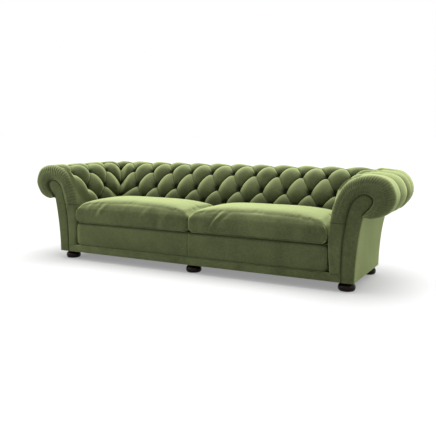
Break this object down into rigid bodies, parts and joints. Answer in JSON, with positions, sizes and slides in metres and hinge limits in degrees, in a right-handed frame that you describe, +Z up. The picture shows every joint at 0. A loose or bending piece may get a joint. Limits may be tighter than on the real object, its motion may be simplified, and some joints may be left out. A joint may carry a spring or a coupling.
{
  "type": "chesterfield sofa",
  "caption": "Long low sofa with deep-buttoned diamond back and rolled scroll arms of one height, gathered arm fronts, loose seat cushions and dark bun feet.",
  "frame": {"origin": "on the floor, under the middle of the overall footprint", "axes": "+X along the sofa to the sitter's left, which is the picture's right, -Y to the front, +Z up"},
  "size_m": [2.697, 0.9036, 0.7062],
  "materials": {
    "velvet": "matt olive-green velvet with a soft sheen",
    "dark_polished_wood": "gloss lacquer over near-black stain",
    "beech": "planed and unfinished",
    "spring_steel": "drawn wire",
    "platform_cloth": "woven lining",
    "black_dust_cloth": "matt non-woven"
  },
  "bodies": {
    "body": {"back_tack_rail": "beech", "back_top_rail": "beech", "cross_rail": "beech", "dust_cover": "black_dust_cloth", "front_plinth": "velvet", "front_rail": "beech", "inside_back": "velvet", "left_arm_facing": "velvet", "left_arm_front_board": "beech", "left_arm_rear_board": "beech", "left_arm_tack_rail": "beech", "left_arm_top_rail": "beech", "left_back_post": "beech", "left_corner_post": "beech", "left_front_corner_block": "beech", "left_front_foot": "dark_polished_wood", "left_inside_arm": "velvet", "left_outside_arm": "velvet", "left_rear_corner_block": "beech", "left_rear_foot": "dark_polished_wood", "left_side_rail": "beech", "middle_front_foot": "dark_polished_wood", "middle_rear_foot": "dark_polished_wood", "outside_back": "velvet", "rear_rail": "beech", "right_arm_facing": "velvet", "right_arm_front_board": "beech", "right_arm_rear_board": "beech", "right_arm_tack_rail": "beech", "right_arm_top_rail": "beech", "right_back_post": "beech", "right_corner_post": "beech", "right_front_corner_block": "beech", "right_front_foot": "dark_polished_wood", "right_inside_arm": "velvet", "right_outside_arm": "velvet", "right_rear_corner_block": "beech", "right_rear_foot": "dark_polished_wood", "right_side_rail": "beech", "seat_border": "velvet", "seat_platform": "platform_cloth", "seat_spring_1": "spring_steel", "seat_spring_2": "spring_steel", "seat_spring_3": "spring_steel", "seat_spring_4": "spring_steel", "seat_spring_5": "spring_steel", "seat_spring_6": "spring_steel", "seat_spring_7": "spring_steel"},
    "left_cushion": {"left_seat_cushion": "velvet"},
    "right_cushion": {"right_seat_cushion": "velvet"}
  },
  "joints": [
    {"name": "left_cushion_lift", "type": "slide", "parent": "body", "child": "left_cushion", "axis": [0, 0, 1], "range_m": [0, 0.25]},
    {"name": "right_cushion_lift", "type": "slide", "parent": "body", "child": "right_cushion", "axis": [0, 0, 1], "range_m": [0, 0.25]}
  ]
}
